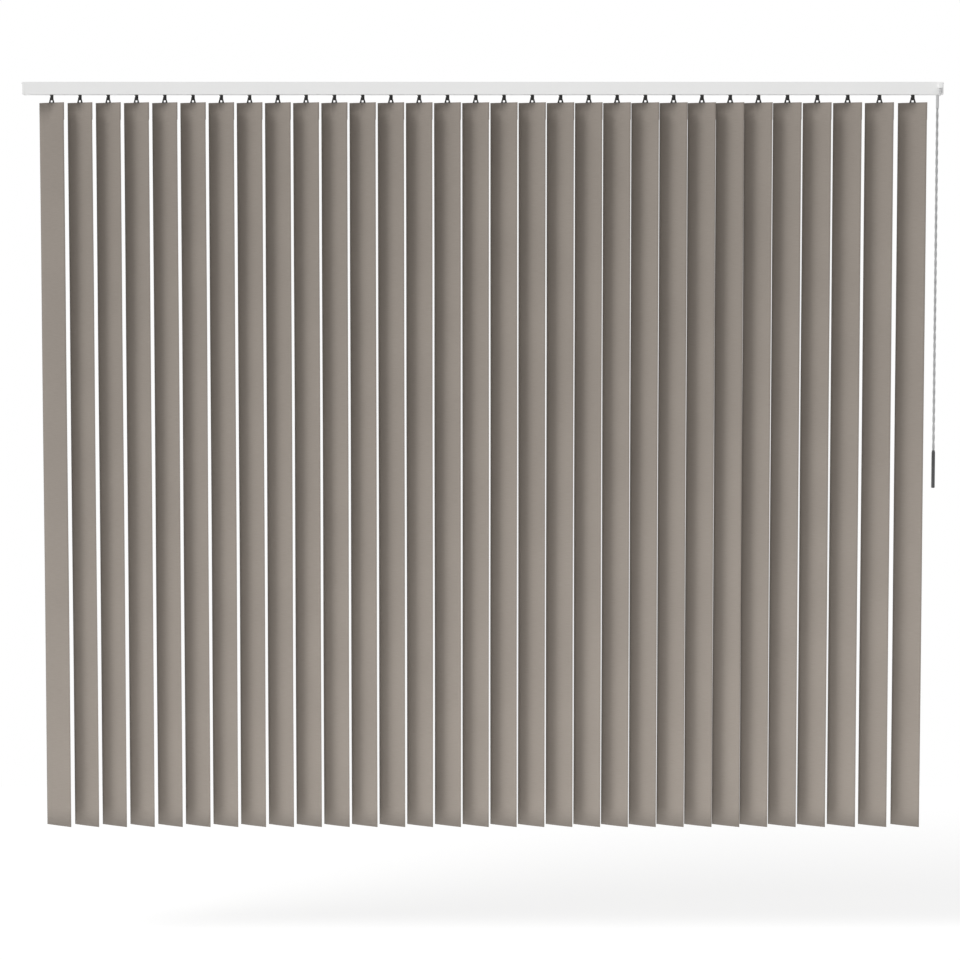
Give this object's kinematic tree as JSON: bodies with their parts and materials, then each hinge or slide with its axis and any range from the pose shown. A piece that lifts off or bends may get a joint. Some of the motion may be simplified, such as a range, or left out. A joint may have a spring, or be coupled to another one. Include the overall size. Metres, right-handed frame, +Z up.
{
  "type": "vertical blind",
  "caption": "Vertical blind with a ceiling-mounted head rail, fabric slats hung on hooks from gliding carriers, and a twisted tilt wand at the right end.",
  "frame": {"origin": "middle of the head rail's top face, where it meets the ceiling, midway between the ceiling screws", "axes": "+X along the rail towards the wand's end, +Z up out of the rail's top face, and -Y towards the room"},
  "size_m": [2.6024, 0.0639, 2.127],
  "materials": {
    "rail_white": "satin",
    "cap_white": "satin",
    "carriers": "satin",
    "rod_bush": "satin",
    "gear_case": "satin",
    "tilt_rod": "satin",
    "screws": "satin",
    "clips": "satin",
    "slat_fabric": "matte",
    "wand_stem": "satin",
    "wand_hook": "satin",
    "wand_sleeve": "gloss",
    "wand_rod": "gloss",
    "wand_grip": "satin"
  },
  "bodies": {
    "rail": {"head_rail": "rail_white", "idle_end_cap": "cap_white", "rod_bush": "rod_bush", "gear_case": "gear_case", "control_end_cap": "cap_white", "end_cap_screws": "screws", "ceiling_clips": "clips", "fixed_carriers": "carriers"},
    "tilt_rod": {"tilt_rod": "tilt_rod"},
    "wand_stem": {"wand_stem": "wand_stem"},
    "wand_hook": {"wand_hook": "wand_hook"},
    "wand": {"wand_sleeve": "wand_sleeve", "wand_rod": "wand_rod", "wand_grip": "wand_grip"},
    "carrier_17": {"carrier_17": "carriers"},
    "carrier_18": {"carrier_18": "carriers"},
    "carrier_19": {"carrier_19": "carriers"},
    "carrier_20": {"carrier_20": "carriers"},
    "carrier_21": {"carrier_21": "carriers"},
    "carrier_22": {"carrier_22": "carriers"},
    "carrier_23": {"carrier_23": "carriers"},
    "carrier_24": {"carrier_24": "carriers"},
    "carrier_25": {"carrier_25": "carriers"},
    "carrier_26": {"carrier_26": "carriers"},
    "carrier_27": {"carrier_27": "carriers"},
    "carrier_28": {"carrier_28": "carriers"},
    "carrier_29": {"carrier_29": "carriers"},
    "carrier_30": {"carrier_30": "carriers"},
    "carrier_31": {"carrier_31": "carriers"},
    "slat_01": {"slat_01": "slat_fabric"},
    "slat_02": {"slat_02": "slat_fabric"},
    "slat_03": {"slat_03": "slat_fabric"},
    "slat_04": {"slat_04": "slat_fabric"},
    "slat_05": {"slat_05": "slat_fabric"},
    "slat_06": {"slat_06": "slat_fabric"},
    "slat_07": {"slat_07": "slat_fabric"},
    "slat_08": {"slat_08": "slat_fabric"},
    "slat_09": {"slat_09": "slat_fabric"},
    "slat_10": {"slat_10": "slat_fabric"},
    "slat_11": {"slat_11": "slat_fabric"},
    "slat_12": {"slat_12": "slat_fabric"},
    "slat_13": {"slat_13": "slat_fabric"},
    "slat_14": {"slat_14": "slat_fabric"},
    "slat_15": {"slat_15": "slat_fabric"},
    "slat_16": {"slat_16": "slat_fabric"},
    "slat_17": {"slat_17": "slat_fabric"},
    "slat_18": {"slat_18": "slat_fabric"},
    "slat_19": {"slat_19": "slat_fabric"},
    "slat_20": {"slat_20": "slat_fabric"},
    "slat_21": {"slat_21": "slat_fabric"},
    "slat_22": {"slat_22": "slat_fabric"},
    "slat_23": {"slat_23": "slat_fabric"},
    "slat_24": {"slat_24": "slat_fabric"},
    "slat_25": {"slat_25": "slat_fabric"},
    "slat_26": {"slat_26": "slat_fabric"},
    "slat_27": {"slat_27": "slat_fabric"},
    "slat_28": {"slat_28": "slat_fabric"},
    "slat_29": {"slat_29": "slat_fabric"},
    "slat_30": {"slat_30": "slat_fabric"},
    "slat_31": {"slat_31": "slat_fabric"}
  },
  "joints": [
    {"name": "draw_31", "type": "slide", "parent": "rail", "child": "carrier_31", "axis": [-1, 0, 0], "range_m": [0, 1.0115]},
    {"name": "draw_17", "type": "slide", "parent": "rail", "child": "carrier_17", "axis": [-1, 0, 0], "range_m": [0, 0.065]},
    {"name": "draw_18", "type": "slide", "parent": "rail", "child": "carrier_18", "axis": [-1, 0, 0], "range_m": [0, 0.13]},
    {"name": "draw_19", "type": "slide", "parent": "rail", "child": "carrier_19", "axis": [-1, 0, 0], "range_m": [0, 0.195]},
    {"name": "draw_20", "type": "slide", "parent": "rail", "child": "carrier_20", "axis": [-1, 0, 0], "range_m": [0, 0.26]},
    {"name": "draw_21", "type": "slide", "parent": "rail", "child": "carrier_21", "axis": [-1, 0, 0], "range_m": [0, 0.325]},
    {"name": "draw_22", "type": "slide", "parent": "rail", "child": "carrier_22", "axis": [-1, 0, 0], "range_m": [0, 0.39]},
    {"name": "draw_23", "type": "slide", "parent": "rail", "child": "carrier_23", "axis": [-1, 0, 0], "range_m": [0, 0.455]},
    {"name": "draw_24", "type": "slide", "parent": "rail", "child": "carrier_24", "axis": [-1, 0, 0], "range_m": [0, 0.52]},
    {"name": "draw_25", "type": "slide", "parent": "rail", "child": "carrier_25", "axis": [-1, 0, 0], "range_m": [0, 0.585]},
    {"name": "draw_26", "type": "slide", "parent": "rail", "child": "carrier_26", "axis": [-1, 0, 0], "range_m": [0, 0.65]},
    {"name": "draw_27", "type": "slide", "parent": "rail", "child": "carrier_27", "axis": [-1, 0, 0], "range_m": [0, 0.717]},
    {"name": "draw_28", "type": "slide", "parent": "rail", "child": "carrier_28", "axis": [-1, 0, 0], "range_m": [0, 0.7865]},
    {"name": "draw_29", "type": "slide", "parent": "rail", "child": "carrier_29", "axis": [-1, 0, 0], "range_m": [0, 0.8575]},
    {"name": "draw_30", "type": "slide", "parent": "rail", "child": "carrier_30", "axis": [-1, 0, 0], "range_m": [0, 0.9325]},
    {"name": "tilt_01", "type": "hinge", "parent": "rail", "child": "slat_01", "pos_m": [-1.22, 0, 0], "axis": [0, 0, -1], "range_deg": [-23, 138]},
    {"name": "tilt_02", "type": "hinge", "parent": "rail", "child": "slat_02", "pos_m": [-1.14, 0, 0], "axis": [0, 0, -1], "range_deg": [-23, 138]},
    {"name": "tilt_03", "type": "hinge", "parent": "rail", "child": "slat_03", "pos_m": [-1.06, 0, 0], "axis": [0, 0, -1], "range_deg": [-23, 138]},
    {"name": "tilt_04", "type": "hinge", "parent": "rail", "child": "slat_04", "pos_m": [-0.98, 0, 0], "axis": [0, 0, -1], "range_deg": [-23, 138]},
    {"name": "tilt_05", "type": "hinge", "parent": "rail", "child": "slat_05", "pos_m": [-0.9, 0, 0], "axis": [0, 0, -1], "range_deg": [-23, 138]},
    {"name": "tilt_06", "type": "hinge", "parent": "rail", "child": "slat_06", "pos_m": [-0.82, 0, 0], "axis": [0, 0, -1], "range_deg": [-23, 138]},
    {"name": "tilt_07", "type": "hinge", "parent": "rail", "child": "slat_07", "pos_m": [-0.74, 0, 0], "axis": [0, 0, -1], "range_deg": [-23, 138]},
    {"name": "tilt_08", "type": "hinge", "parent": "rail", "child": "slat_08", "pos_m": [-0.66, 0, 0], "axis": [0, 0, -1], "range_deg": [-23, 138]},
    {"name": "tilt_09", "type": "hinge", "parent": "rail", "child": "slat_09", "pos_m": [-0.58, 0, 0], "axis": [0, 0, -1], "range_deg": [-23, 138]},
    {"name": "tilt_10", "type": "hinge", "parent": "rail", "child": "slat_10", "pos_m": [-0.5, 0, 0], "axis": [0, 0, -1], "range_deg": [-23, 138]},
    {"name": "tilt_11", "type": "hinge", "parent": "rail", "child": "slat_11", "pos_m": [-0.42, 0, 0], "axis": [0, 0, -1], "range_deg": [-23, 138]},
    {"name": "tilt_12", "type": "hinge", "parent": "rail", "child": "slat_12", "pos_m": [-0.34, 0, 0], "axis": [0, 0, -1], "range_deg": [-23, 138]},
    {"name": "tilt_13", "type": "hinge", "parent": "rail", "child": "slat_13", "pos_m": [-0.26, 0, 0], "axis": [0, 0, -1], "range_deg": [-23, 138]},
    {"name": "tilt_14", "type": "hinge", "parent": "rail", "child": "slat_14", "pos_m": [-0.18, 0, 0], "axis": [0, 0, -1], "range_deg": [-23, 138]},
    {"name": "tilt_15", "type": "hinge", "parent": "rail", "child": "slat_15", "pos_m": [-0.1, 0, 0], "axis": [0, 0, -1], "range_deg": [-23, 138]},
    {"name": "tilt_16", "type": "hinge", "parent": "rail", "child": "slat_16", "pos_m": [-0.02, 0, 0], "axis": [0, 0, -1], "range_deg": [-23, 138]},
    {"name": "tilt_17", "type": "hinge", "parent": "carrier_17", "child": "slat_17", "pos_m": [0.06, 0, 0], "axis": [0, 0, -1], "range_deg": [-23, 138]},
    {"name": "tilt_18", "type": "hinge", "parent": "carrier_18", "child": "slat_18", "pos_m": [0.14, 0, 0], "axis": [0, 0, -1], "range_deg": [-23, 138]},
    {"name": "tilt_19", "type": "hinge", "parent": "carrier_19", "child": "slat_19", "pos_m": [0.22, 0, 0], "axis": [0, 0, -1], "range_deg": [-23, 138]},
    {"name": "tilt_20", "type": "hinge", "parent": "carrier_20", "child": "slat_20", "pos_m": [0.3, 0, 0], "axis": [0, 0, -1], "range_deg": [-23, 138]},
    {"name": "tilt_21", "type": "hinge", "parent": "carrier_21", "child": "slat_21", "pos_m": [0.38, 0, 0], "axis": [0, 0, -1], "range_deg": [-23, 138]},
    {"name": "tilt_22", "type": "hinge", "parent": "carrier_22", "child": "slat_22", "pos_m": [0.46, 0, 0], "axis": [0, 0, -1], "range_deg": [-23, 138]},
    {"name": "tilt_23", "type": "hinge", "parent": "carrier_23", "child": "slat_23", "pos_m": [0.54, 0, 0], "axis": [0, 0, -1], "range_deg": [-23, 138]},
    {"name": "tilt_24", "type": "hinge", "parent": "carrier_24", "child": "slat_24", "pos_m": [0.62, 0, 0], "axis": [0, 0, -1], "range_deg": [-23, 138]},
    {"name": "tilt_25", "type": "hinge", "parent": "carrier_25", "child": "slat_25", "pos_m": [0.7, 0, 0], "axis": [0, 0, -1], "range_deg": [-23, 138]},
    {"name": "tilt_26", "type": "hinge", "parent": "carrier_26", "child": "slat_26", "pos_m": [0.78, 0, 0], "axis": [0, 0, -1], "range_deg": [-23, 138]},
    {"name": "tilt_27", "type": "hinge", "parent": "carrier_27", "child": "slat_27", "pos_m": [0.862, 0, 0], "axis": [0, 0, -1], "range_deg": [-23, 138]},
    {"name": "tilt_28", "type": "hinge", "parent": "carrier_28", "child": "slat_28", "pos_m": [0.9465, 0, 0], "axis": [0, 0, -1], "range_deg": [-23, 138]},
    {"name": "tilt_29", "type": "hinge", "parent": "carrier_29", "child": "slat_29", "pos_m": [1.0325, 0, 0], "axis": [0, 0, -1], "range_deg": [-23, 138]},
    {"name": "tilt_30", "type": "hinge", "parent": "carrier_30", "child": "slat_30", "pos_m": [1.1225, 0, 0], "axis": [0, 0, -1], "range_deg": [-23, 138]},
    {"name": "tilt_31", "type": "hinge", "parent": "carrier_31", "child": "slat_31", "pos_m": [1.2165, 0, 0], "axis": [0, 0, -1], "range_deg": [-23, 138]},
    {"name": "rod_turn", "type": "hinge", "parent": "rail", "child": "tilt_rod", "pos_m": [0, 0.009, -0.0215], "axis": [1, 0, 0], "range_deg": [-138, 828]},
    {"name": "wand_turn", "type": "hinge", "parent": "rail", "child": "wand_stem", "pos_m": [1.29, -0.033, 0], "axis": [0, 0, -1], "range_deg": [-360, 2160]},
    {"name": "hook_swing", "type": "hinge", "parent": "wand_stem", "child": "wand_hook", "pos_m": [1.29, -0.033, -0.03165], "axis": [0, 1, 0], "range_deg": [-20, 30]},
    {"name": "wand_swing", "type": "hinge", "parent": "wand_hook", "child": "wand", "pos_m": [1.2815, -0.033, -0.04005], "axis": [-1, 0, 0], "range_deg": [0, 50]}
  ],
  "couplings": [
    {"joint": "draw_17", "follows": "draw_31", "ratio": 0.064261},
    {"joint": "draw_18", "follows": "draw_31", "ratio": 0.12852},
    {"joint": "draw_19", "follows": "draw_31", "ratio": 0.19278},
    {"joint": "draw_20", "follows": "draw_31", "ratio": 0.25704},
    {"joint": "draw_21", "follows": "draw_31", "ratio": 0.3213},
    {"joint": "draw_22", "follows": "draw_31", "ratio": 0.38557},
    {"joint": "draw_23", "follows": "draw_31", "ratio": 0.44983},
    {"joint": "draw_24", "follows": "draw_31", "ratio": 0.51409},
    {"joint": "draw_25", "follows": "draw_31", "ratio": 0.57835},
    {"joint": "draw_26", "follows": "draw_31", "ratio": 0.64261},
    {"joint": "draw_27", "follows": "draw_31", "ratio": 0.70885},
    {"joint": "draw_28", "follows": "draw_31", "ratio": 0.77756},
    {"joint": "draw_29", "follows": "draw_31", "ratio": 0.84775},
    {"joint": "draw_30", "follows": "draw_31", "ratio": 0.9219},
    {"joint": "tilt_02", "follows": "tilt_01", "ratio": 1},
    {"joint": "tilt_03", "follows": "tilt_01", "ratio": 1},
    {"joint": "tilt_04", "follows": "tilt_01", "ratio": 1},
    {"joint": "tilt_05", "follows": "tilt_01", "ratio": 1},
    {"joint": "tilt_06", "follows": "tilt_01", "ratio": 1},
    {"joint": "tilt_07", "follows": "tilt_01", "ratio": 1},
    {"joint": "tilt_08", "follows": "tilt_01", "ratio": 1},
    {"joint": "tilt_09", "follows": "tilt_01", "ratio": 1},
    {"joint": "tilt_10", "follows": "tilt_01", "ratio": 1},
    {"joint": "tilt_11", "follows": "tilt_01", "ratio": 1},
    {"joint": "tilt_12", "follows": "tilt_01", "ratio": 1},
    {"joint": "tilt_13", "follows": "tilt_01", "ratio": 1},
    {"joint": "tilt_14", "follows": "tilt_01", "ratio": 1},
    {"joint": "tilt_15", "follows": "tilt_01", "ratio": 1},
    {"joint": "tilt_16", "follows": "tilt_01", "ratio": 1},
    {"joint": "tilt_17", "follows": "tilt_01", "ratio": 1},
    {"joint": "tilt_18", "follows": "tilt_01", "ratio": 1},
    {"joint": "tilt_19", "follows": "tilt_01", "ratio": 1},
    {"joint": "tilt_20", "follows": "tilt_01", "ratio": 1},
    {"joint": "tilt_21", "follows": "tilt_01", "ratio": 1},
    {"joint": "tilt_22", "follows": "tilt_01", "ratio": 1},
    {"joint": "tilt_23", "follows": "tilt_01", "ratio": 1},
    {"joint": "tilt_24", "follows": "tilt_01", "ratio": 1},
    {"joint": "tilt_25", "follows": "tilt_01", "ratio": 1},
    {"joint": "tilt_26", "follows": "tilt_01", "ratio": 1},
    {"joint": "tilt_27", "follows": "tilt_01", "ratio": 1},
    {"joint": "tilt_28", "follows": "tilt_01", "ratio": 1},
    {"joint": "tilt_29", "follows": "tilt_01", "ratio": 1},
    {"joint": "tilt_30", "follows": "tilt_01", "ratio": 1},
    {"joint": "tilt_31", "follows": "tilt_01", "ratio": 1},
    {"joint": "rod_turn", "follows": "tilt_01", "ratio": 6},
    {"joint": "wand_turn", "follows": "tilt_01", "ratio": 15.652}
  ]
}
